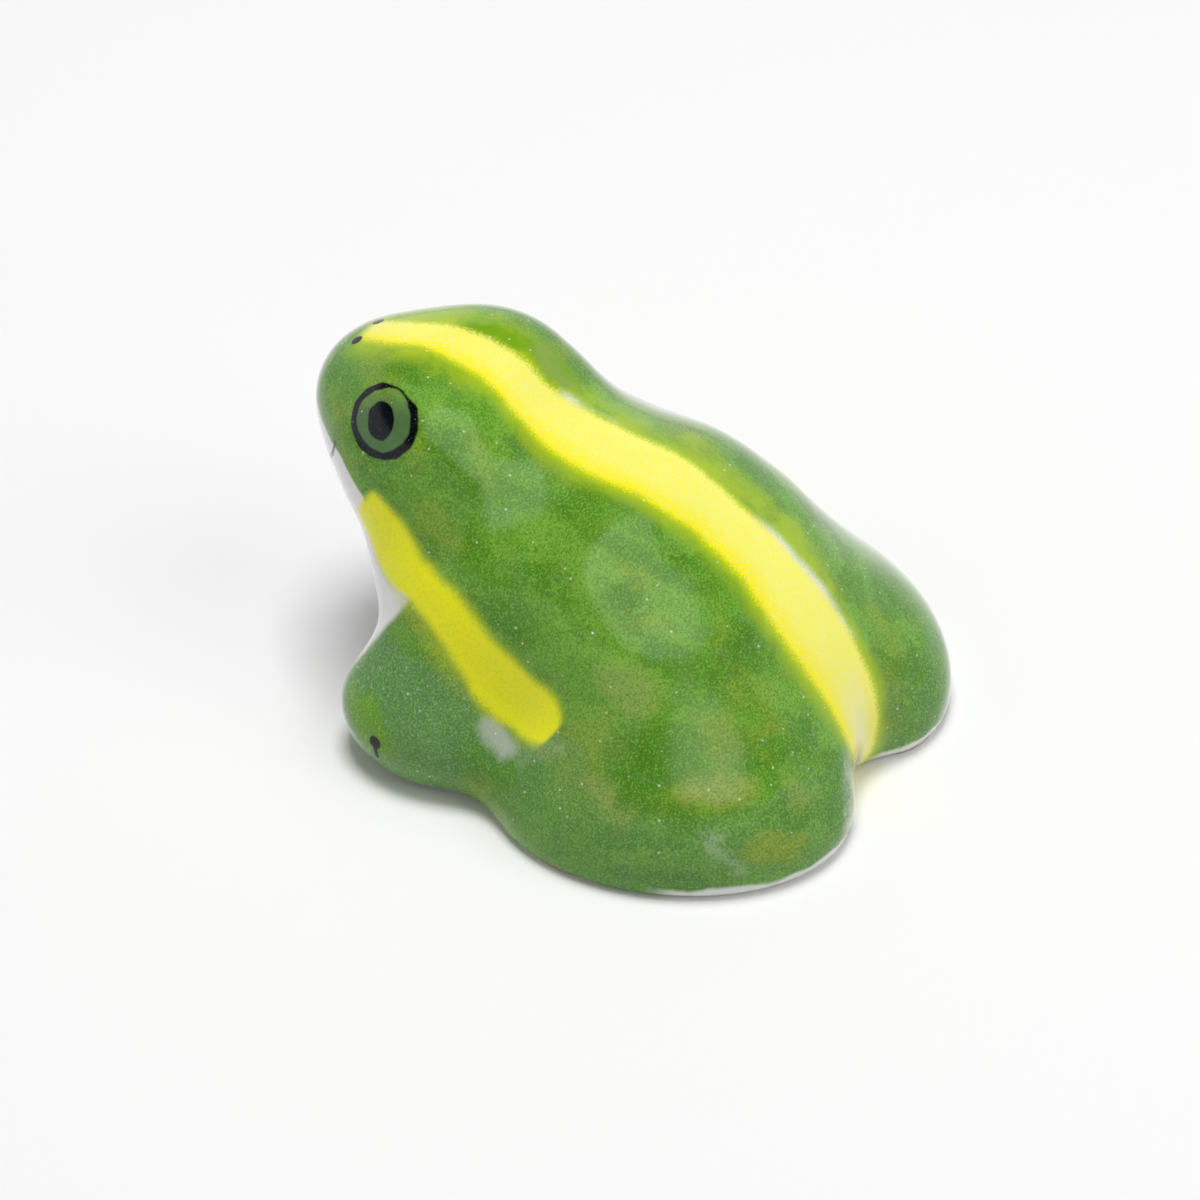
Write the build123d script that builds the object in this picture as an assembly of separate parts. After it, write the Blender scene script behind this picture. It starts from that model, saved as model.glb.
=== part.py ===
from build123d import *
import math
import os

# A small porcelain frog, sitting with its head raised, in millimetres.
# It faces -Y, its own left is +X, and it rests on the ground plane Z = 0.
# Every member is a domed loft: ellipses square to a straight axis, closed by a half ellipsoid at each end.

# Where the members stand
frog_shift = 0.2         # moves the whole frog along Y so that nose and heels are equally far from the origin
ground_depth = 12.0      # how much is cut away under the ground plane

# Spine of the body
spine_lean = 27.0        # degrees, nose end up
spine_height = 8.3       # the spine passes this high above the origin
nose_ahead = 17.1        # from the point above the origin to the nose, along the spine

# Stations of the body, measured from the nose along the spine
head_at = 7.8
neck_at = 9.5
shoulder_at = 13.4
back_at = 16.6
loin_at = 21.5
rump_at = 32.2

# Width of the body at its stations
head_width = 12.2
neck_width = 13.2
shoulder_width = 16.2
back_width = 17.9
loin_width = 19.1

# Height of the body at its stations, square to the spine
head_height = 9.6
neck_height = 9.3
shoulder_height = 12.7
back_height = 14.3
loin_height = 12.7

# How far the middle of the body lies above the spine
nose_rise = -0.8
head_rise = 0.4
neck_rise = 0.5
shoulder_rise = -0.7
back_rise = -0.3
loin_rise = 0.3
rump_rise = -0.4

# Eye mounds, pellets pressed on to the sides of the head
eye_out = 4.0
eye_forward = 8.4
eye_height = 13.2
eye_length = 7.2
eye_depth = 7.2
eye_reach = 2.9
eye_bury = 2.0

# Forelegs, from the shoulder down and out to the foot
arm_out = 4.5
arm_forward = 4.4
arm_height = 8.5
foot_out = 8.9
foot_forward = 5.0
foot_height = 2.6
arm_breadth = 11.5
wrist_breadth = 8.7
foot_breadth = 9.4
arm_thickness = 7.8
wrist_thickness = 6.4
foot_thickness = 5.8
arm_bury = 2.0
foot_reach = 3.1

# Hind legs, broad eggs with the knee turned out and the heel turned in
haunch_out = 6.2
haunch_back = 6.8
haunch_height = 1.0
haunch_turn = 20.2       # degrees
haunch_length = 17.7
haunch_thickness = 12.0
haunch_reach = 6.4
haunch_bury = 3.5

# Radius to which the clay of each joint is smeared out, and how far outside a member its joint runs
eye_smear = 1.2
arm_smear = 0.8
haunch_smear = 1.6
joint_spread = 0.3

# Shares of a dome's reach at which its ellipses are drawn
dome_steps = (0.42, 0.72, 0.92, 0.998)
outline_points = 12


def ring(place, across, high, rise):
    """Ellipse square to the axis of a member, begun at its underside, its middle lifted by rise."""
    turns = [2 * math.pi * (i / outline_points - 0.25) for i in range(outline_points)]
    points = [(across / 2 * math.cos(t), rise + high / 2 * math.sin(t)) for t in turns]
    with BuildSketch(place) as sketch:
        with BuildLine():
            Spline(*points, periodic=True)
        make_face()
    return sketch.sketch


def domed_loft(axis_plane, stations, first_reach, last_reach, first_rise, last_rise):
    """Loft through (distance, across, high, rise) stations, with a dome of the given reach at each end.

    The axis is the plane's Z direction, X is across and Y is high. In a dome the ellipse shrinks as the
    square root of one minus the square of its share of the reach.
    """
    first, last = stations[0], stations[-1]
    rows = []
    for share in reversed(dome_steps):
        shrink = math.sqrt(1 - share * share)
        rise = first[3] + (first_rise - first[3]) * share
        rows.append((first[0] - share * first_reach, first[1] * shrink, first[2] * shrink, rise))
    rows.extend(stations)
    for share in dome_steps:
        shrink = math.sqrt(1 - share * share)
        rise = last[3] + (last_rise - last[3]) * share
        rows.append((last[0] + share * last_reach, last[1] * shrink, last[2] * shrink, rise))
    return loft([ring(axis_plane.offset(at), across, high, rise) for at, across, high, rise in rows])


# Everything below the ground plane, cut from each member so that the frog sits flat
ground = Box(120, 120, ground_depth, align=(Align.CENTER, Align.CENTER, Align.MAX))

# Body with head, lofted along the leaning spine from the nose to the rump
lean = math.radians(spine_lean)
spine = Vector(0, math.cos(lean), -math.sin(lean))
nose = Vector(0, frog_shift, spine_height) - spine * nose_ahead
body_axis = Plane(origin=nose, x_dir=(-1, 0, 0), z_dir=spine)
body_stations = [
    (head_at, head_width, head_height, head_rise),
    (neck_at, neck_width, neck_height, neck_rise),
    (shoulder_at, shoulder_width, shoulder_height, shoulder_rise),
    (back_at, back_width, back_height, back_rise),
    (loin_at, loin_width, loin_height, loin_rise),
]
trunk = domed_loft(body_axis, body_stations, head_at, rump_at - loin_at, nose_rise, rump_rise)


# Eye mounds, their axes pointing straight out to the side
eye_axis = Plane(origin=(eye_out, frog_shift - eye_forward, eye_height), x_dir=(0, 1, 0), z_dir=(1, 0, 0))


def eye_pellet(spread):
    """Left eye mound as one egg, larger all round by spread."""
    station = (0, eye_length + 2 * spread, eye_depth + 2 * spread, 0)
    return domed_loft(eye_axis, [station], eye_bury + spread, eye_reach + spread, 0, 0)


# Forelegs, from the shoulder to the foot
arm = Vector(arm_out, frog_shift - arm_forward, arm_height)
foot = Vector(foot_out, frog_shift - foot_forward, foot_height)
leg_run = foot - arm
leg_side = Vector(0, 1, 0) - leg_run * (leg_run.Y / leg_run.length ** 2)
leg_axis = Plane(origin=arm, x_dir=leg_side, z_dir=leg_run)


def foreleg_roll(spread):
    """Left foreleg as one tapered roll, larger all round by spread."""
    stations = [
        (0, arm_breadth + 2 * spread, arm_thickness + 2 * spread, 0),
        (leg_run.length / 2, wrist_breadth + 2 * spread, wrist_thickness + 2 * spread, 0),
        (leg_run.length, foot_breadth + 2 * spread, foot_thickness + 2 * spread, 0),
    ]
    return domed_loft(leg_axis, stations, arm_bury + spread, foot_reach + spread, 0, 0)


# Hind legs, their axes pointing out to the side and a little to the rear
turn = math.radians(haunch_turn)
haunch_axis = Plane(
    origin=(haunch_out, frog_shift + haunch_back, haunch_height),
    x_dir=(-math.sin(turn), math.cos(turn), 0),
    z_dir=(math.cos(turn), math.sin(turn), 0),
)


def haunch_egg(spread):
    """Left hind leg as one egg, larger all round by spread."""
    station = (0, haunch_length + 2 * spread, haunch_thickness + 2 * spread, 0)
    return domed_loft(haunch_axis, [station], haunch_bury + spread, haunch_reach + spread, 0, 0)


def smeared(solid, seam, radius):
    """Fillet along the seam, with a smaller radius where the members leave no room for the full one."""
    for share in (1.0, 0.8, 0.6, 0.4, 0.2):
        try:
            return solid.fillet(radius * share, seam)
        except ValueError:
            continue
    return solid


members = [
    ("hind_leg", haunch_egg, haunch_smear),
    ("foreleg", foreleg_roll, arm_smear),
    ("eye_mound", eye_pellet, eye_smear),
]

# The frog as it leaves the potter's hands: every member joined on and its joint smeared out in a fillet
frog = trunk
for kind, shape, smear in members:
    for member in (shape(0), mirror(shape(0), about=Plane.YZ)):
        joined = frog + member
        frog = smeared(joined, new_edges(frog, member, combined=joined), smear)
frog = frog - ground

# Each member parts from the body along its own outline, spread a little so that the joint halves the fillet
pieces = {}
for kind, shape, smear in members:
    for side, outline in (("left", shape(joint_spread)), ("right", mirror(shape(joint_spread), about=Plane.YZ))):
        pieces[side + "_" + kind] = frog & outline
        frog = frog - outline
pieces["body"] = frog

os.makedirs("parts", exist_ok=True)
for name, piece in pieces.items():
    export_step(piece, "parts/" + name + ".step")
    box = piece.bounding_box()
    print(name, "solids", len(piece.solids()), "volume", round(piece.volume, 2), "from", box.min, "to", box.max)
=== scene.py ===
# %% [markdown]
# # A little porcelain frog
#
# The frog is a thumb-sized porcelain figure. A potter pressed two eye mounds, two forelegs and two hind
# legs on to a body, a painter laid on green, yellow and black with a brush, and a clear glaze was fired
# over everything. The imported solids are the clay. This lesson dresses them: the glaze becomes one skin, the
# brush paint becomes its material, and a white floor with soft light shows it.

import bpy
import numpy as np
from mathutils import Matrix


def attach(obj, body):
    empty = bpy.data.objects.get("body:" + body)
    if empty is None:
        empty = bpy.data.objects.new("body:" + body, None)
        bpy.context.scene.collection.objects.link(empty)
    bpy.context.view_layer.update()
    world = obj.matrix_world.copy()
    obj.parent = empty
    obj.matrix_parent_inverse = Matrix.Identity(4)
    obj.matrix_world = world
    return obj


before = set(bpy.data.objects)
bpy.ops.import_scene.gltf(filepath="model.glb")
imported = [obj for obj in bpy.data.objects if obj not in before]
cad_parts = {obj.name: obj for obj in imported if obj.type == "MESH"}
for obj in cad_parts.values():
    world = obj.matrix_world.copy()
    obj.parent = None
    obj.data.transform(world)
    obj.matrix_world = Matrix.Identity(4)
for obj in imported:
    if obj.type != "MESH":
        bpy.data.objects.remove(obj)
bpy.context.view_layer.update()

mm = 0.001
print("solids:", ", ".join(sorted(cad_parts)))

# %% [markdown]
# ## The form under the glaze
#
# On the real frog nothing shows where one lump of clay ends and the next begins, because wet fingers
# smeared the joints and the glaze ran over them. Sculpting could make such a form, or a remesh of the
# solids, but neither gives an even grid. Here every member is a formula that says how far a point is from
# its surface, and the formulas melt into each other. The sizes are close to those of the solids, in
# millimetres: a member is a little slimmer, and its joint melts wider.

# %% Sizes of the members
frog_shift = 0.2

# Body: a leaning spine, and stations along it from the nose, each with a width, a height and a rise
spine_lean = np.radians(26.9)
spine_height = 8.37
nose_ahead = 17.1
body_at = (7.87, 9.62, 13.48, 16.77, 21.06)
body_width = (11.6, 13.1, 15.9, 17.8, 18.9)
body_height = (9.5, 9.0, 12.9, 14.5, 12.7)
body_rise = (0.4, 0.36, -0.85, -0.34, 0.27)
body_reach = (7.87, 11.15)
body_end_rise = (-0.85, -0.48)

# Eye mound: middle, length and depth, and reach inwards and outwards
eye_place = (3.4, frog_shift - 8.25, 13.4)
eye_size = (6.84, 7.02)
eye_reach = (2.0, 2.8)

# Foreleg: from the shoulder to the foot, with breadth and thickness at both ends and half way
shoulder = np.array((4.76, frog_shift - 4.83, 8.03))
foot = np.array((8.87, frog_shift - 5.3, 2.6))
foreleg_breadth = (11.2, 7.8, 8.9)
foreleg_thickness = (7.7, 6.3, 5.9)
foreleg_reach = (2.0, 3.2)

# Hind leg: an egg with its axis turned a little to the rear
haunch_place = (6.4, frog_shift + 6.93, 1.06)
haunch_turn = np.radians(19.0)
haunch_size = (17.4, 11.1)
haunch_reach = (3.5, 6.3)

spine = np.array((0.0, np.cos(spine_lean), -np.sin(spine_lean)))
nose = np.array((0.0, frog_shift, spine_height)) - spine * nose_ahead
print("nose in mm:", np.round(nose, 2))


# %% Distance from one member
def eased(t, at, values):
    """Smooth line through values at their stations, level at both ends.

    Each stretch is a cubic with given slopes at its ends. The slope at a station is the mean of the slopes
    of the two stretches beside it, each weighted by the length of the other.
    """
    at, values = np.array(at), np.array(values)
    run = np.diff(at)
    climb = np.diff(values) / run
    slope = np.zeros(len(at))
    slope[1:-1] = (climb[:-1] * run[1:] + climb[1:] * run[:-1]) / (run[1:] + run[:-1])
    i = np.clip(np.searchsorted(at, t) - 1, 0, len(at) - 2)
    u = np.clip((t - at[i]) / run[i], 0, 1)
    ends = (1 + 2 * u) * (1 - u) ** 2 * values[i] + u * u * (3 - 2 * u) * values[i + 1]
    return ends + u * (1 - u) * run[i] * ((1 - u) * slope[i] - u * slope[i + 1])


def member(points, origin, axis, across, at, width, height, rise, reach, end_rise=(0.0, 0.0)):
    """About the distance of points outside a member, in mm, and negative inside it.

    Square to the axis the member is an ellipse, its width, height and rise eased from station to station.
    Past the first and last station it closes as half an ellipsoid of the given reach. If k is a point's
    length in units of the half-axes and g the length of k's slope there, the distance is about k (k - 1) / g.
    """
    axis = np.array(axis) / np.linalg.norm(axis)
    across = np.array(across) / np.linalg.norm(across)
    from_origin = points - np.array(origin)
    along = from_origin @ axis
    side = from_origin @ across
    up = from_origin @ np.cross(axis, across)
    half_width = eased(along, at, width) / 2 if len(at) > 1 else width[0] / 2
    half_height = eased(along, at, height) / 2 if len(at) > 1 else height[0] / 2
    middle = eased(along, at, rise) if len(at) > 1 else rise[0]
    before = np.maximum(at[0] - along, 0) / reach[0]
    after = np.maximum(along - at[-1], 0) / reach[1]
    up = up - middle - (end_rise[0] - rise[0]) * before - (end_rise[1] - rise[-1]) * after
    past = before + after
    past_reach = np.where(before > 0, reach[0], reach[1])
    k = np.sqrt((side / half_width) ** 2 + (up / half_height) ** 2 + past ** 2)
    g = np.sqrt((side / half_width ** 2) ** 2 + (up / half_height ** 2) ** 2 + (past / past_reach) ** 2)
    return k * (k - 1) / (g + 1e-9)


# %% [markdown]
# ## Melting the members together
#
# A plain union of shapes takes the smaller of two distances, which leaves a sharp crease. If the smaller
# distance is lowered a little wherever both are nearly equal, the crease fills with a soft fillet, as clay
# does under a thumb. How near "nearly" is gives the width of the fillet.

# %% Distance from the whole frog
glaze_thickness = 0.23
joint_melt = 3.0
foot_rim = 0.12
rim_melt = 0.35
middle_ease = 0.5


def melted(a, b, width):
    """Smaller of two distances, lowered by a quarter of width times the square of how near they are."""
    near = np.maximum(width - np.abs(a - b), 0) / width
    return np.minimum(a, b) - near * near * width / 4


def frog_distance(points):
    """Distance outside the glazed frog: body, hind legs, forelegs and eye mounds melted, grown by the glaze.

    Legs and eyes are worked out on the left and hold for the right, because x goes in without its sign, as
    the root of its square and a small square, which leaves no crease in the middle. The glaze stops a little
    above the ground, where the bare clay of the foot rim begins.
    """
    left = points.copy()
    left[:, 0] = np.sqrt(left[:, 0] ** 2 + middle_ease ** 2)
    trunk = member(points, nose, spine, (-1, 0, 0), body_at, body_width, body_height, body_rise,
                   body_reach, body_end_rise)
    eye = member(left, eye_place, (1, 0, 0), (0, 1, 0), (0,), eye_size[:1], eye_size[1:], (0,), eye_reach)
    run = foot - shoulder
    leg_at = np.array((0, 0.5, 1)) * np.linalg.norm(run)
    leg_side = np.array((0, 1, 0)) - run * run[1] / (run @ run)
    foreleg = member(left, shoulder, run, leg_side, leg_at, foreleg_breadth, foreleg_thickness, (0, 0, 0),
                     foreleg_reach)
    out = (np.cos(haunch_turn), np.sin(haunch_turn), 0)
    back = (-np.sin(haunch_turn), np.cos(haunch_turn), 0)
    haunch = member(left, haunch_place, out, back, (0,), haunch_size[:1], haunch_size[1:], (0,), haunch_reach)
    clay = trunk
    for lump in (haunch, foreleg, eye):
        clay = melted(clay, lump, joint_melt)
    return -melted(glaze_thickness - clay, points[:, 2] - foot_rim, rim_melt)


# %% [markdown]
# ## One closed skin
#
# A grid wrapped round a ball has two poles where its faces crowd together. A cube blown up into a ball has
# none, and its six square grids meet along shared points. Each point is a direction. A ray leaves the spine
# that way, and halving the stretch between inside and outside again and again finds where it meets the
# frog.

# %% Directions and rays
skin_cells = 120
skin_middle = np.array((0.0, 0.5, 7.0))
skin_spread = 7.0
skin_far = 26.0
halvings = 36


def cube_ball(cells):
    """Directions of a cube's grid blown up into a ball, and the quads between them.

    A point of the grid has three angles from -45 to 45 degrees, and its direction is their tangents scaled to
    unit length. Two faces share the points of their common edge, so the ball is closed.
    """
    u, v = np.meshgrid(np.arange(cells + 1), np.arange(cells + 1), indexing="ij")
    low, high = np.zeros_like(u), np.full_like(u, cells)
    sides = [(high, u, v), (low, v, u), (v, high, u), (u, low, v), (u, v, high), (v, u, low)]
    grid = np.array(sides).transpose(0, 2, 3, 1)
    number = grid @ np.array(((cells + 1) ** 2, cells + 1, 1))
    _, first, same = np.unique(number, return_index=True, return_inverse=True)
    directions = np.tan((grid.reshape(-1, 3)[first] * 2 / cells - 1) * np.pi / 4)
    directions /= np.linalg.norm(directions, axis=1, keepdims=True)
    same = same.reshape(number.shape)
    quads = np.stack((same[:, :-1, :-1], same[:, 1:, :-1], same[:, 1:, 1:], same[:, :-1, 1:]), -1)
    return directions, quads.reshape(-1, 4)


def shrink_on(directions):
    """Where rays from the spine meet the frog, each found by halving the stretch from inside to outside."""
    start = skin_middle + spine * skin_spread * (directions @ spine)[:, None]
    inside = np.zeros(len(directions))
    outside = np.full(len(directions), skin_far)
    for _ in range(halvings):
        middle = (inside + outside) / 2
        within = frog_distance(start + directions * middle[:, None]) < 0
        inside = np.where(within, middle, inside)
        outside = np.where(within, outside, middle)
    return start + directions * inside[:, None]


# %% Shoot the skin
directions, quads = cube_ball(skin_cells)
skin = shrink_on(directions)
mesh = bpy.data.meshes.new("glaze_coat")
mesh.from_pydata((skin * mm).tolist(), [], quads.tolist())
mesh.polygons.foreach_set("use_smooth", np.ones(len(quads), dtype=bool))
glaze_coat = bpy.data.objects.new("glaze_coat", mesh)
bpy.context.scene.collection.objects.link(glaze_coat)
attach(glaze_coat, "root")
print("glaze_coat:", len(skin), "points, from", np.round(skin.min(0), 2), "to", np.round(skin.max(0), 2))

# %% Does the skin cover the clay
for name, node in sorted(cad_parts.items()):
    corners = np.empty(len(node.data.vertices) * 3)
    node.data.vertices.foreach_get("co", corners)
    corners = corners.reshape(-1, 3) / mm
    above = corners[corners[:, 2] > foot_rim + rim_melt]
    print(name, "stands proud of the skin by at most", round(float(frog_distance(above).max()), 3), "mm")


# %% [markdown]
# ## A way to write paint as arithmetic
#
# The brush marks are painted by a material that works out, for each point, which brush passed there. As
# node boxes that would be hundreds of wires. This class wraps a socket so that ordinary Python operators
# add the Math and Vector Math nodes, and one method adds any other node.

# %% Sockets that calculate
class Wire:
    """A shader socket that takes part in Python expressions, as a number or as a vector."""

    def __init__(self, tree, socket=None):
        self.tree = tree
        self.socket = socket

    def node(self, kind, settings=None, sockets=None, out=0):
        """Adds a node of a kind, makes its settings, then fills its sockets with values or wires."""
        made = self.tree.nodes.new("ShaderNode" + kind)
        for name, value in (settings or {}).items():
            if name == "curve":
                line = made.mapping.curves[0]
                for place, level in value[1:-1]:
                    line.points.new(place, level)
                line.points[0].location = value[0]
                line.points[-1].location = value[-1]
                made.mapping.update()
            else:
                setattr(made, name, value)
        for name, value in (sockets or {}).items():
            if isinstance(value, Wire):
                self.tree.links.new(value.socket, made.inputs[name])
            else:
                made.inputs[name].default_value = value
        return Wire(self.tree, made.outputs[out] if made.outputs else None)

    def is_vector(self):
        return self.socket.type in ("VECTOR", "RGBA")

    def maths(self, operation, first, second=0.0):
        wires = [w for w in (first, second) if isinstance(w, Wire)]
        kind = "VectorMath" if any(w.is_vector() for w in wires) else "Math"
        return self.node(kind, {"operation": operation}, {0: first, 1: second})

    def __add__(self, other):
        return self.maths("ADD", self, other)

    def __radd__(self, other):
        return self.maths("ADD", other, self)

    def __sub__(self, other):
        return self.maths("SUBTRACT", self, other)

    def __rsub__(self, other):
        return self.maths("SUBTRACT", other, self)

    def __mul__(self, other):
        if self.is_vector():
            return self.node("VectorMath", {"operation": "SCALE"}, {0: self, "Scale": other})
        return self.maths("MULTIPLY", self, other)

    def __rmul__(self, other):
        return self * other

    def __truediv__(self, other):
        return self.maths("DIVIDE", self, other)

    def __abs__(self):
        return self.node("Math", {"operation": "ABSOLUTE"}, {0: self})

    def __matmul__(self, other):
        """How far a vector reaches along another one."""
        return self.node("VectorMath", {"operation": "DOT_PRODUCT"}, {0: self, 1: other}, "Value")

    def length(self):
        return self.node("VectorMath", {"operation": "LENGTH"}, {0: self}, "Value")

    def least(self, other):
        return self.maths("MINIMUM", self, other)

    def most(self, other):
        return self.maths("MAXIMUM", self, other)

    def part(self, axis):
        """One of a vector's three numbers."""
        return self.node("SeparateXYZ", {}, {0: self}, axis)

    def vector(self, x, y, z):
        """Vector of three numbers or wires."""
        return self.node("CombineXYZ", {}, {0: x, 1: y, 2: z})

    def step(self, low, high):
        """Climbs smoothly from 0 at low to 1 at high, or falls where low is the larger."""
        sockets = {"Value": self, "From Min": low, "From Max": high}
        return self.node("MapRange", {"interpolation_type": "SMOOTHSTEP"}, sockets)

    def along(self, points):
        """Smooth line through (place, value) points, level outside them."""
        places = np.array(points)[:, 0]
        values = np.array(points)[:, 1]
        low, span = values.min(), np.ptp(values)
        share = (places - places[0]) / (places[-1] - places[0])
        curve = list(zip(share.tolist(), ((values - low) / span).tolist()))
        sockets = {"Value": self, "From Min": float(places[0]), "From Max": float(places[-1])}
        place = self.node("MapRange", {}, sockets)
        return self.node("FloatCurve", {"curve": curve}, {"Value": place}) * float(span) + float(low)

    def noise(self, scale, detail=2.0, roughness=0.5, out="Fac"):
        """Cloudy noise over a vector, with about scale clouds to a unit."""
        sockets = {"Vector": self, "Scale": scale, "Detail": detail, "Roughness": roughness}
        return self.node("TexNoise", {}, sockets, out)

    def sway(self, scale, detail, roughness, reach):
        """Noise as a vector, from minus half of reach to plus half of it, that pushes a place aside."""
        return (self.noise(scale, detail, roughness, "Color") - (0.5, 0.5, 0.5)) * reach

    def cells(self, scale):
        """Distance from the nearest of many scattered points, about scale of them to a unit."""
        return self.node("TexVoronoi", {}, {"Vector": self, "Scale": scale}, "Distance")

    def to_stroke(self, start, end):
        """Distance of a vector from the straight stroke between two points."""
        run = np.array(end) - np.array(start)
        from_start = self - tuple(start)
        share = (from_start @ tuple(run / (run @ run))).most(0.0).least(1.0)
        on_stroke = share.node("VectorMath", {"operation": "SCALE"}, {0: tuple(run), "Scale": share})
        return (from_start - on_stroke).length()


# %% Colours and materials from wires
def blend(share, under, over):
    """Colour between two, by a share from 0 to 1."""
    wire = next(w for w in (share, under, over) if isinstance(w, Wire))
    colours = [c if isinstance(c, Wire) else (*c, 1.0) for c in (under, over)]
    return wire.node("Mix", {"data_type": "RGBA"}, {0: share, 6: colours[0], 7: colours[1]}, 2)


def new_material(name):
    """An empty material, and a wire to start from that carries Object coordinates in mm."""
    material = bpy.data.materials.new(name)
    material.use_nodes = True
    tree = material.node_tree
    tree.nodes.clear()
    start = Wire(tree)
    return material, start.node("TexCoord", {}, {}, "Object") * (1 / mm)


def finish_material(material, start, sockets):
    """Ends a material in one glossy or matt surface shader."""
    surface = start.node("BsdfPrincipled", {}, sockets)
    start.node("OutputMaterial", {}, {"Surface": surface})
    print("material", material.name, "has", len(material.node_tree.nodes), "nodes")


# %% [markdown]
# ## The paints
#
# The painter used a green, thick and thin and mixed with a little ochre, a yellow that is pale where it
# lies thick, and a black for the face. Pictures of the paint could be wrapped round the frog, but they
# would carry the light they were taken in. A paint is one colour here: the share of red, green and blue
# that it throws back.

# %% Colours of the paints
leaf = (0.140, 0.350, 0.028)
deep_leaf = (0.068, 0.210, 0.013)
pale_leaf = (0.245, 0.500, 0.068)
olive = (0.270, 0.350, 0.035)
tan_green = (0.300, 0.360, 0.090)
sea_green = (0.112, 0.255, 0.098)
thin_green = (0.620, 0.630, 0.600)
moss = (0.150, 0.360, 0.010)
lime = (0.460, 0.610, 0.014)
lemon = (0.940, 0.905, 0.130)
straw = (0.970, 0.880, 0.004)
sun = (0.980, 0.965, 0.003)
porcelain = (0.860, 0.860, 0.860)
ink = (0.002, 0.003, 0.006)
iris_green = (0.072, 0.150, 0.060)
print("brightest paint:", max(straw, sun, lemon, key=sum))

# %% [markdown]
# ## A wavering hand
#
# The painter left the throat white, washed green over the rest, drew one yellow stripe down the back and
# one down each side, and put in eyes, nostrils and mouth in black. Each mark is a distance to a line or a
# point, turned into a soft-edged mask. No brush line is true, so a slow noise pushes every place aside
# before a line is measured from it. A fine noise is the grain of the pigment, and stretched ones are its
# clouds, which run as the brush did, from the head to the rump.

# %% Coordinates, waver and clouds of pigment
line_waver = 0.35
dab_waver = 2.0
grain_to_mm = 9.0
brush_lean = np.radians(-30)
brush_stretch = (0.30, 0.16, 0.34)

brush_paint, place = new_material("brush_paint")
wander = place.sway(0.5, 2.0, 0.5, line_waver)
hand = place + wander
x, y, z = (hand.part(axis) for axis in "XYZ")
along_spine = place @ tuple(spine)
above_spine = place @ (0.0, -spine[2], spine[1])
loose_hand = place + place.sway(0.8, 3.0, 0.6, dab_waver)

grain = place.noise(grain_to_mm, 2.0, 0.7)
brush_run = place.node("Mapping", {"vector_type": "POINT"}, {
    "Vector": place, "Rotation": (brush_lean, 0.0, 0.0), "Scale": brush_stretch})
wash = brush_run.noise(1.0, 4.0, 0.6)
cloud = (brush_run + (40.0, 0.0, 0.0)).noise(0.9, 3.0, 0.55)
drift = (place + (0.0, 70.0, 0.0)).noise(0.45, 3.0, 0.6)
torn = brush_run + place.sway(1.2, 3.0, 0.6, 0.5)
patch_sockets = {"Vector": torn, "Scale": 1.5, "Smoothness": 0.15}
patch = torn.node("TexVoronoi", {"feature": "SMOOTH_F1"}, patch_sockets, "Color").part("X")


def progress(step):
    """Says how far the material has grown after a step."""
    print(step + ":", len(brush_paint.node_tree.nodes), "nodes in brush_paint so far")


progress("coordinates and noise")

# %% [markdown]
# ## Green wash
#
# The green went on wet and in several passes, dark where a stroke was full and light where the brush ran
# dry. One noise through a colour ramp would look like marble. Thin layers that each follow a noise of their
# own look like brush work.

# %% Layers of green
# Noise, where its layer starts and where it is full, strength and paint
layers = [
    (wash, 0.42, 0.60, 0.75, deep_leaf),
    (patch, 0.45, 0.15, 0.55, deep_leaf),
    (patch, 0.60, 0.85, 0.35, pale_leaf),
    (cloud, 0.50, 0.64, 0.55, olive),
    (drift, 0.52, 0.68, 0.35, sea_green),
]
green = leaf
for clouds, start, full, strength, paint in layers:
    green = blend(clouds.step(start, full) * strength, green, paint)
progress("layers of green")

# %% [markdown]
# ## Milky legs and painted floor reflection
#
# The forelegs were washed more thinly, and their milky green is also partly a painted reflection of the white
# floor. Low on the haunches the milky green is only a painted reflection of the white floor. A foreleg is
# what lies in front of one plane and below another, and the painted reflection is what lies below a line that
# is drawn in profile, as (place along the frog, height) points.

# %% Forelegs and painted floor reflection
foreleg_back = -1.5
foreleg_top = 7.4
reflection_front = 2.0
reflection_line = [(2.0, 4.0), (4.2, 6.4), (5.8, 5.1), (8.6, 4.2), (11.4, 4.4), (12.8, 4.7), (13.7, 4.7),
             (15.0, 3.6)]
# Forelegs: thinner paint and partly a painted reflection of the white floor. Lower haunches: a painted
# reflection of it
on_foreleg = y.step(foreleg_back + 0.8, foreleg_back - 0.8) * z.step(foreleg_top, foreleg_top - 1.0)
floor_reflection = (y.along(reflection_line) - z).step(-0.15, 0.35) * y.step(reflection_front - 1.0, reflection_front + 1.0)
green = blend(on_foreleg * 0.75, green, sea_green)
green = blend(floor_reflection * 0.35, green, sea_green)
progress("milky legs")

# %% [markdown]
# ## Dabs
#
# Here and there the brush was set down again, with a little more or less colour on it. Such dabs could be
# left to noise, but the larger ones give this frog its look, so each is a short stroke from one point to
# another, with a half-width, a paint and a strength. The strong waver tears their edges. On the haunches some
# of the same strokes are painted reflections: two olive arcs, a dark band, a pale rear edge and a dark patch.

# %% Dabs over the green
dab_outside = 0.6
dab_inside = 0.4

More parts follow.
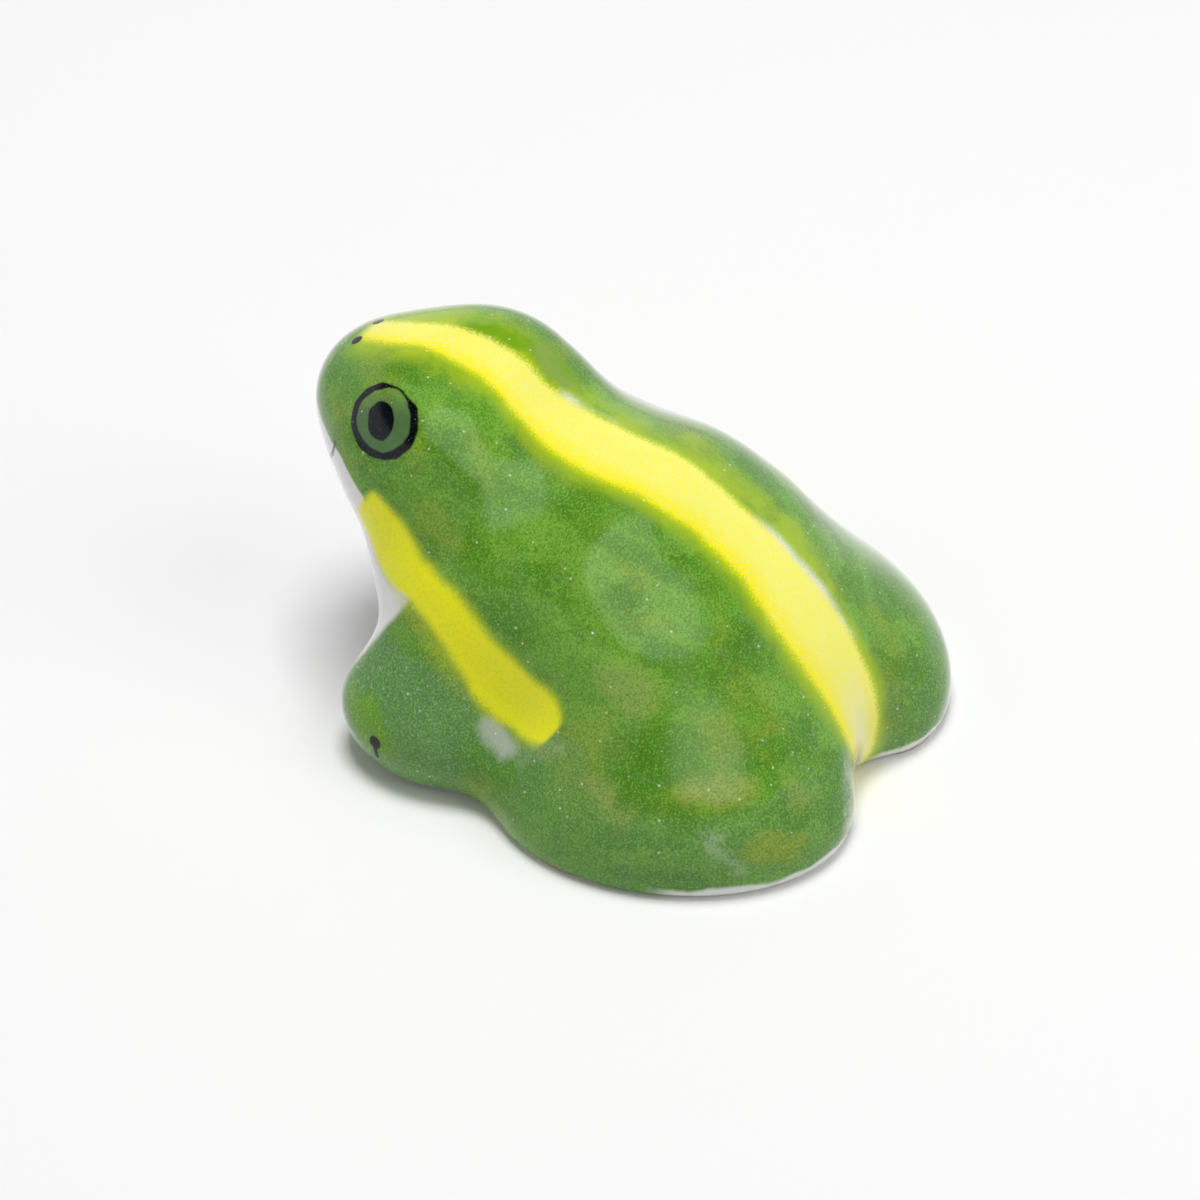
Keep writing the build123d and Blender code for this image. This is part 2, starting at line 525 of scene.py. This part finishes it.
# Flank and head
flank_dabs = [
    ((8.6, 5.4, 9.2), (8.7, 6.6, 8.7), 1.0, tan_green, 0.55),
    ((7.0, -4.8, 12.7), (8.6, 0.0, 10.4), 1.1, deep_leaf, 0.60),
    ((6.9, -6.0, 13.4), (7.2, -4.8, 12.9), 0.6, olive, 0.60),
    ((5.4, -0.6, 13.9), (6.0, 2.8, 13.0), 0.9, pale_leaf, 0.45),
    ((3.8, -1.4, 14.8), (3.8, 0.4, 14.0), 0.6, deep_leaf, 0.40),
    ((4.2, -9.0, 17.5), (4.0, -7.6, 17.4), 0.6, pale_leaf, 0.45),
    ((6.9, 2.5, 11.9), (7.9, 5.0, 10.4), 0.9, pale_leaf, 0.45),
    ((5.4, -6.3, 16.3), (5.6, -4.3, 14.9), 0.6, deep_leaf, 0.80),
]
# Haunches: dabs of paint, and painted reflections
haunch_dabs_and_reflections = [
    ((11.6, 6.2, 4.6), (11.8, 7.4, 4.2), 0.7, tan_green, 0.60),
    # painted reflection: olive arc low on the near haunch
    ((10.3, 10.2, 4.9), (8.3, 12.4, 5.1), 0.5, olive, 0.95),
    # painted reflection: dark band low on the near haunch
    ((11.0, 9.9, 4.2), (6.9, 14.4, 3.6), 0.45, deep_leaf, 0.85),
    ((6.7, 13.9, 4.3), (6.4, 14.4, 4.0), 0.45, tan_green, 0.60),
    # painted reflection: lower olive arc on the near haunch
    ((9.2, 13.6, 2.7), (8.0, 14.8, 2.4), 0.60, olive, 0.85),
    ((10.6, 11.7, 3.4), (10.3, 13.0, 1.6), 0.22, porcelain, 0.28),
    ((10.3, 6.6, 6.4), (9.6, 9.0, 6.4), 0.9, deep_leaf, 0.55),
    ((9.9, 10.2, 5.1), (8.4, 12.2, 5.2), 0.6, tan_green, 0.50),
    ((10.8, 1.5, 4.3), (10.6, 3.1, 5.5), 0.4, porcelain, 0.13),
    ((11.3, 7.6, 4.9), (10.9, 9.2, 4.7), 0.4, deep_leaf, 0.90),
    # painted reflection: pale edge at the rear of the near haunch
    ((3.0, 14.9, 3.3), (4.3, 15.7, 1.5), 0.25, thin_green, 0.60),
    # painted reflection: dark patch on the far haunch
    ((-2.9, 13.7, 5.4), (-4.1, 14.4, 4.4), 0.25, deep_leaf, 0.80),
]
# Left toe
toe_dabs = [
    ((11.6, -6.9, 3.6), (11.8, -6.4, 3.1), 1.1, moss, 0.90),
    ((10.8, -8.3, 4.1), (11.0, -8.0, 3.5), 0.5, pale_leaf, 0.35),
]


def dabbed(ground, dabs):
    """Lays dabs over a colour, each full along its stroke and fading over one millimetre at its edge."""
    for start, end, half, paint, strength in dabs:
        mask = loose_hand.to_stroke(start, end).step(half + dab_outside, half - dab_inside)
        ground = blend(mask * strength, ground, paint)
    return ground


green = dabbed(green, flank_dabs + haunch_dabs_and_reflections + toe_dabs)
progress("dabs")

# %% Frost and grain
frost = place.noise(5.0, 3.0, 0.7).step(0.58, 0.68) * on_foreleg.most(floor_reflection * 0.4)
green = blend(frost * 0.40, green, thin_green)
green = blend(grain.step(0.50, 0.64) * 0.60, green, pale_leaf)
green = blend(grain.step(0.50, 0.36) * 0.70, green, deep_leaf)
progress("frost and grain")

# %% [markdown]
# ## Lines of the sides
#
# A yellow stripe runs down each side from the corner of the jaw to the haunch, and the white of the chest
# ends at it. So both are measured in the stripe's own directions: a length from its upper end, and a
# breadth towards the back. Its middle and its half-width are lines through a few points along that length.

# %% Length and breadth of a side stripe
side_start = (-9.0, 12.65)
side_run = np.array((0.85, -0.527))
side_middle = [(-0.8, -0.2), (0.7, -0.7), (2.3, -0.8), (4.1, -0.2), (6.2, 0.1), (8.1, -0.1), (10.3, -0.3),
               (12.1, 0.1), (13.9, 0.6)]
side_half = [(-0.8, 0.8), (0.7, 1.55), (2.3, 1.5), (4.1, 1.1), (6.2, 1.15), (8.1, 1.3), (10.3, 1.65),
             (11.6, 1.66), (12.2, 1.6), (12.7, 1.45), (13.1, 1.2), (13.4, 0.9), (13.6, 0.55), (13.7, 0.2)]

flat_side = hand.vector(0.0, y, z) - (0.0, *side_start)
side_length = flat_side @ (0.0, *side_run)
side_breadth = flat_side @ (0.0, -side_run[1], side_run[0]) - side_length.along(side_middle)
side_ends = side_length.step(-1.0, -0.5) * side_length.step(13.8, 13.5)
side_edge = abs(side_breadth) - side_length.along(side_half)
print("side stripe: up to", 2 * max(half for _, half in side_half), "mm wide")

# %% [markdown]
# ## Bare white
#
# Throat and chest have no colour under the glaze, nor have a spot behind each foreleg and the edge of the
# foot at the rear, where the brush didn't reach. The borders of the throat are plain: the line of the chin,
# the side stripe, and the tops of the forelegs. So masks with those borders bring back the white of the
# clay, rather than keep each layer of green away from it.

# %% White throat, spot and foot
chin_line = [(-16.5, 14.4), (-12.1, 14.1), (-10.9, 14.0), (-9.8, 13.6), (-9.0, 13.2), (-7.5, 12.0)]
chest_end = 4.2
chest_half_width = 7.2
bare_spot = (10.2, -0.8, 4.6), (10.5, 0.3, 4.2)
foot_front = 10.0

below_chin = (y.along(chin_line) - z).step(-0.12, 0.12)
above_leg = side_length.step(chest_end + 0.2, chest_end - 0.2)
between_legs = abs(x).step(chest_half_width, chest_half_width - 1.0) * y.step(-4.0, -5.0)
chest = below_chin * side_breadth.step(0.1, -0.1) * above_leg.most(between_legs)
both_sides = hand.vector(abs(x), y, z)
spot = (both_sides + (loose_hand - place) * 0.4).to_stroke(*bare_spot).step(1.05, 0.20)
foot_edge = place.noise(0.5, 2.0) * 0.8 + 0.3
bare_foot = (z - foot_edge).step(0.15, -0.15) * y.step(foot_front - 1.0, foot_front + 1.0)
colour = blend(spot * 0.62, green, thin_green)
colour = blend(chest.most(bare_foot * 0.85), colour, porcelain)
progress("bare white")

# %% [markdown]
# ## Stripe down the back
#
# The stripe was laid over wet green, so a lime fringe runs along it, a sliver of bare white shows where the
# two missed each other, and the yellow is deeper along the near edge. A plain band with a hard edge would
# look like tape. Middle and half-width are lines along the spine, and the grain frets the edge.

# %% Where the back stripe lies
stripe_middle = [(-20.0, 0.05), (-19.0, 0.1), (-16.5, -0.25), (-14.4, -0.2), (-11.5, 0.05), (-7.8, 0.08),
                 (-4.1, 0.2), (-1.5, -0.05), (0.6, -0.15), (3.6, 0.07), (6.2, 0.15), (8.6, 0.11),
                 (11.4, 0.25), (12.8, 0.3)]
stripe_half = [(-20.0, 0.6), (-19.0, 0.9), (-16.5, 1.12), (-14.4, 1.3), (-11.5, 1.45), (-7.8, 1.82),
               (-4.1, 1.87), (-1.5, 1.68), (0.6, 1.68), (3.6, 1.87), (6.2, 2.0), (8.6, 1.9),
               (11.4, 1.42), (12.8, 0.7)]

across = x - along_spine.along(stripe_middle)
stripe_edge = abs(across) - along_spine.along(stripe_half)
on_back = above_spine.step(7.5, 8.5).most(y.step(11.0, 12.5)) * along_spine.step(-20.3, -19.7)
far_side = across.step(0.2, -0.2)
near_side = across.step(-0.2, 0.8)
ragged = (grain - 0.5) * 1.6
fretted = stripe_edge + ragged * 0.5
print("back stripe: up to", 2 * max(half for _, half in stripe_half), "mm wide")

# %% Fringe, sliver and yellow
# Dabs that went over the fringe, on the far side and on the brow
late_dabs = [
    ((-1.7, -8.6, 17.9), (-2.6, -4.3, 16.3), 0.75, moss, 0.85),
    ((-2.4, -5.6, 17.0), (-2.3, -4.0, 16.1), 0.40, tan_green, 0.55),
    ((-3.4, 2.6, 14.4), (-3.4, 8.6, 10.9), 0.55, lime, 0.35),
    ((1.5, -10.6, 17.8), (2.2, -6.4, 17.5), 0.30, lime, 0.45),
]

fringe_width = far_side * along_spine.step(8.0, 4.0) * 1.6 + along_spine.step(-13.0, -15.0) * 0.6 + 1.2
fringe = (1 - fretted / fringe_width).step(0.0, 1.0) * (drift.step(0.25, 0.6) * 0.5 + 0.3)
fringe = fringe.most(fretted.step(0.75, 0.1) * 0.85)
colour = blend(fringe * on_back, colour, lime)
colour = dabbed(colour, late_dabs)

neck_gap = along_spine.step(-11.0, -10.0) * along_spine.step(-7.0, -8.0)
loin_gap = along_spine.step(0.0, 2.5) * along_spine.step(8.5, 7.0)
sliver = fretted.step(0.7, 0.0) * far_side * (neck_gap + loin_gap) * on_back * wash.step(0.35, 0.60)
colour = blend(sliver * 0.7, colour, porcelain)

yellow = blend((stripe_edge + ragged).step(-1.6, -0.1) * near_side, lemon, straw)
yellow = blend(grain.step(0.48, 0.70) * 0.35, yellow, porcelain)
# Paler towards the rump: partly the paint's own pale middle, partly painted light on the end facing away from
# the lamp
yellow = blend(along_spine.step(8.0, 11.5) * stripe_edge.step(-0.3, -1.3) * 0.3, yellow, porcelain)
colour = blend((stripe_edge + ragged * 0.6).step(0.25, -0.30) * on_back, colour, yellow)
progress("back stripe")

# %% [markdown]
# ## Stripes down the sides
#
# These were drawn in a stronger yellow. Towards the foreleg it ran thin over the green and turned lime, and
# elsewhere it has a narrow lime edge. One mask gives both sides, because only the size of x goes in.

# %% Side stripes
outer = abs(x).step(6.0, 6.4) * side_ends
shade = (side_breadth + ragged * 0.6).step(-2.9, -1.0) * side_breadth.step(0.6, -0.2)
shade = shade * side_length.step(3.2, 4.2) * side_length.step(10.6, 7.5)
shade = shade.most(side_edge.step(0.7, 0.0) * side_length.step(0.5, 2.0) * 0.6)
colour = blend(shade * (grain.step(0.35, 0.6) * 0.5 + 0.4) * outer, colour, lime)
side_yellow = blend(grain.step(0.55, 0.35) * 0.22, sun, lime)
colour = blend((side_edge + ragged * 0.7).step(0.34, -0.34) * outer, colour, side_yellow)
progress("side stripes")

# %% [markdown]
# ## Eyes
#
# An eye is a black ring drawn in one round stroke with a full pupil in it, and the green inside looks
# darker. It could be a disc of its own, but paint has no thickness. So each place near the mound is written
# as shares of two half-axes that lie on the mound, and the ring is where those shares make a circle.

# %% Eyes
# Middle of each ring, and its half-axes towards the tail and the top
eyes = [
    ((5.02, -9.57, 16.49), (-0.11, 1.675, 0.585), (-1.28, -0.76, 0.98)),
    ((-6.10, -9.20, 15.50), (0.20, 1.70, 0.30), (0.95, -0.45, 1.45)),
]
pupil_share = (0.45, 0.56)
pupil_shift = 0.04
line_half = 0.115
thin_half = 0.035
mound_depth = 1.4


def eye_masks(middle, tailward, topward):
    """Masks of one eye's iris, and of its black ring and pupil.

    With a and b the shares of the half-axes, the ring runs where the root of a a + b b is 1. It is thinnest
    at the upper rear, where the brush was lifted. The pupil is an egg inside it, and the iris is lighter at
    the top.
    """
    tailward, topward = np.array(tailward), np.array(topward)
    out = np.cross(tailward, topward) / np.linalg.norm(np.cross(tailward, topward))
    from_eye = place + place.sway(1.1, 1.0, 0.5, 0.25) - middle
    a = from_eye @ tuple(np.cross(topward, out) / (tailward @ np.cross(topward, out)))
    b = from_eye @ tuple(np.cross(out, tailward) / (topward @ np.cross(out, tailward)))
    near = abs(from_eye @ tuple(out)).step(mound_depth, mound_depth - 0.3)
    from_middle = a.vector(a, b, 0.0).length()
    lifted = ((a * 0.5 + b * 0.87) / from_middle).step(0.80, 0.98)
    ring = (abs(from_middle - 1.0) - line_half + lifted * (line_half - thin_half)).step(0.035, -0.035)
    egg = a.vector((a + pupil_shift) * (1 / pupil_share[0]), (b + pupil_shift) * (1 / pupil_share[1]), 0.0)
    pupil = egg.length().step(1.06, 0.94)
    iris = from_middle.step(1.05, 0.95) * near * (0.85 - b.step(0.1, 0.8) * 0.5)
    return iris, ring.most(pupil) * near


marks = None
for eye in eyes:
    iris, black = eye_masks(*eye)
    colour = blend(iris, colour, iris_green)
    marks = black if marks is None else marks.most(black)
progress("eyes")

# %% [markdown]
# ## Nostrils, mouth and toes
#
# The finest brush put two dots on the nose, a line for the mouth and a dot with a tail on each forefoot.
# Drawn as curves they would float over the glaze. As distances from points and short strokes they lie under
# it. The mouth is drawn in profile, as (place along the frog, height) points, and so runs round the whole
# jaw.

# %% Nostrils, mouth and toes
nostrils = [(0.89, -13.74, 17.03), (-0.70, -13.52, 17.16)]
mouth = [(-16.3, 12.9), (-14.6, 12.75), (-13.3, 12.8), (-12.75, 13.1), (-12.5, 13.55), (-12.36, 14.0),
         (-12.3, 14.35)]
toe_dot = (11.95, -6.26, 2.64)
toe_tail = (11.92, -6.18, 1.81)

drawn = place.vector(abs(place.part("X")), place.part("Y"), place.part("Z")) + wander * 0.15
profile = drawn.vector(0.0, drawn.part("Y"), drawn.part("Z"))
for dot in nostrils:
    marks = marks.most((place + wander * 0.3 - dot).length().step(0.36, 0.26))
for start, end in zip(mouth, mouth[1:]):
    marks = marks.most(profile.to_stroke((0, *start), (0, *end)).step(0.13, 0.06) * 0.8)
marks = marks.most(drawn.to_stroke(toe_dot, toe_tail).step(0.2, 0.11))
marks = marks.most((drawn - toe_dot).length().step(0.44, 0.30))
colour = blend(marks * (1 - grain.step(0.60, 0.75) * 0.45), colour, ink)
progress("black marks")

# %% [markdown]
# ## Glaze over the paint
#
# The glaze is clear and smooth, with pinholes and a few grains of dust in it, and it mirrors the room most
# where it is seen edge on. A second glassy shell would do that too, but it would bend the paint. The
# surface shader has a coat for it, which grows towards the edges, and a slow ripple in the surface bends
# the reflections.

# %% Specks and dust
speck_size = (0.085, 0.05)
dust_size = (0.017, 0.009)
specks = place.cells(1.1).step(*speck_size) * 0.5
dust = place.cells(0.23).step(*dust_size)
colour = blend(specks.most(dust), colour, porcelain)
progress("specks and dust")

# %% Glaze
ripple_height = 0.06 * mm
ripple = place.noise(0.7, 2.0, 0.5) + grain * 0.08
bump = ripple.node("Bump", {}, {"Strength": 0.3, "Distance": ripple_height, "Height": ripple})
edge_on = place.node("LayerWeight", {}, {"Blend": 0.5}, "Facing").step(0.45, 1.0)
finish_material(brush_paint, place, {
    "Base Color": colour, "Roughness": grain * 0.10 + 0.10, "IOR": 1.45, "Specular IOR Level": 0.3,
    "Normal": bump, "Coat Weight": edge_on, "Coat Roughness": 0.05,
})
mesh.materials.append(brush_paint)

# %% [markdown]
# ## Bare clay
#
# The glaze is wiped off the foot so that the frog does not stick in the kiln. What shows there is unglazed
# porcelain: off-white, matt and a little sandy. At the very bottom, where it meets the floor, it turns brown,
# which is a painted contact shadow. The solids already have that form, so they only need the material.

# %% Bisque on the solids
fired_clay = (0.78, 0.75, 0.70)
sandy_clay = (0.62, 0.57, 0.50)
painted_contact_shadow = (0.42, 0.33, 0.25)
grit_height = 0.03 * mm

bisque, place = new_material("bisque")
sand = place.noise(5.0, 3.0, 0.6)
# painted shadow: the clay darkens to brown where it meets the floor, with a wavering edge
contact_height = place.part("Z") + place.noise(0.6) * 0.3
clay = blend(sand.step(0.4, 0.7) * 0.4, fired_clay, sandy_clay)
clay = blend(contact_height.step(0.35, 0.12), clay, painted_contact_shadow)
grit = sand.node("Bump", {}, {"Strength": 0.4, "Distance": grit_height, "Height": sand})
finish_material(bisque, place, {"Base Color": clay, "Roughness": sand * 0.2 + 0.6, "Normal": grit})
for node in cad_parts.values():
    node.data.materials.clear()
    node.data.materials.append(bisque)

# %% [markdown]
# ## Floor
#
# The frog stands on a sheet of white paper. The sheet is lit like the frog, so that the shadow lies on it,
# and a little glow that only the camera and reflections see lifts it to white without adding light.

# %% Floor
floor_half = 600 * mm
paper = (0.90, 0.90, 0.91)
paper_glow = 0.04


def seen_rays(wire):
    """1 for rays that show a thing, straight from the camera or by way of a reflection or clear body."""
    ray = wire.node("LightPath")
    seen = ray
    for kind in ("Is Glossy Ray", "Is Transmission Ray"):
        seen = seen.most(Wire(wire.tree, ray.socket.node.outputs[kind]))
    return seen


floor_mesh = bpy.data.meshes.new("floor")
floor_corners = [(-floor_half, -floor_half, 0), (floor_half, -floor_half, 0), (floor_half, floor_half, 0),
                 (-floor_half, floor_half, 0)]
floor_mesh.from_pydata(floor_corners, [], [(0, 1, 2, 3)])
floor = bpy.data.objects.new("floor", floor_mesh)
bpy.context.scene.collection.objects.link(floor)

white_sheet, place = new_material("white_sheet")
matt = place.node("BsdfDiffuse", {}, {"Color": (*paper, 1.0)})
glow_sockets = {"Color": (1.0, 1.0, 1.0, 1.0), "Strength": seen_rays(place) * paper_glow}
sheet = place.node("AddShader", {}, {0: matt, 1: place.node("Emission", {}, glow_sockets)})
place.node("OutputMaterial", {}, {"Surface": sheet})
floor_mesh.materials.append(white_sheet)
print("floor:", 2 * floor_half, "m square")

# %% [markdown]
# ## Light
#
# The photograph was taken in a white tent: light from all round, more from above, and a soft shadow close
# to the frog. Many lamps could build that. A world of white paper below and a dim room above does it with
# two lamps, one overhead and one behind. What the glaze mirrors is brighter than what lights the frog:
# white paper all round and one round window overhead.

# %% World
card_top = np.sin(np.radians(33.0))
card_edge = 0.015
window_toward = (0.25, 0.30, 0.92)
window_edge = (0.870, 0.892)
room_light, card_light = (0.21, 0.20, 0.19), (0.36, 0.355, 0.35)
room_mirrored, card_mirrored, window_mirrored = (0.05, 0.05, 0.06), (0.95, 0.97, 1.0), (3.0, 3.0, 3.0)

world = bpy.data.worlds.new("paper_and_room")
bpy.context.scene.world = world
world.use_nodes = True
world.node_tree.nodes.clear()
room = Wire(world.node_tree)
toward = room.node("TexCoord", {}, {}, "Generated")
card = toward.part("Z").step(card_top + card_edge, card_top - card_edge)
window = (toward @ window_toward).step(*window_edge)
lit = blend(card, room_light, card_light)
mirrored = blend(window, blend(card, room_mirrored, card_mirrored), window_mirrored)
sky = room.node("Background", {}, {"Color": blend(seen_rays(room), lit, mirrored), "Strength": 1.0})
room.node("OutputWorld", {}, {"Surface": sky})
print("world:", len(world.node_tree.nodes), "nodes")


# %% Lamps
def looking(place, aim):
    """Matrix of a lamp or camera at a place, looking at a point, with its top upwards."""
    back = (place - aim) / np.linalg.norm(place - aim)
    right = np.cross((0, 0, 1), back)
    right /= np.linalg.norm(right)
    turned = np.eye(4)
    turned[:3] = np.stack((right, np.cross(back, right), back, place), 1)
    return Matrix(turned.tolist())


# Name, place in mm, side in mm and watts
panels = [
    ("top_panel", (-30, -25, 440), 170, 1.32),
    ("back_panel", (-40, 300, 300), 300, 0.40),
]
lamp_aim = np.array((0, 0, 6)) * mm
for name, panel_place, side, watts in panels:
    panel = bpy.data.lights.new(name, "AREA")
    panel.size = side * mm
    panel.energy = watts
    lamp = bpy.data.objects.new(name, panel)
    bpy.context.scene.collection.objects.link(lamp)
    lamp.matrix_world = looking(np.array(panel_place) * mm, lamp_aim)
    lamp.visible_glossy = False
    print(name, "of", watts, "W")

# %% [markdown]
# ## Camera
#
# The photograph looks down on the frog's left side from a little behind. A long lens from far off keeps its
# proportions. Turn and rise give the direction, and the aim is moved to the right and up in the picture
# until the frog sits where it does in the photograph.

# %% Camera
camera_turn = np.radians(120.0)
camera_rise = np.radians(40.8)
camera_far = 280.0
frame_right = -0.48
frame_up = 4.33

back = np.array((np.sin(camera_turn) * np.cos(camera_rise), -np.cos(camera_turn) * np.cos(camera_rise),
                 np.sin(camera_rise)))
right = np.array((np.cos(camera_turn), np.sin(camera_turn), 0))
up = np.cross(back, right)
camera_data = bpy.data.cameras.new("camera")
camera_data.lens = 168
camera_data.sensor_width = 36
camera_data.clip_start = 0.01
camera = bpy.data.objects.new("camera", camera_data)
bpy.context.scene.collection.objects.link(camera)
camera.matrix_world = looking(back * camera_far * mm, (right * frame_right + up * frame_up) * mm)
bpy.context.scene.camera = camera
bpy.context.scene.view_settings.view_transform = "Standard"
print("camera in mm:", np.round(back * camera_far, 1))
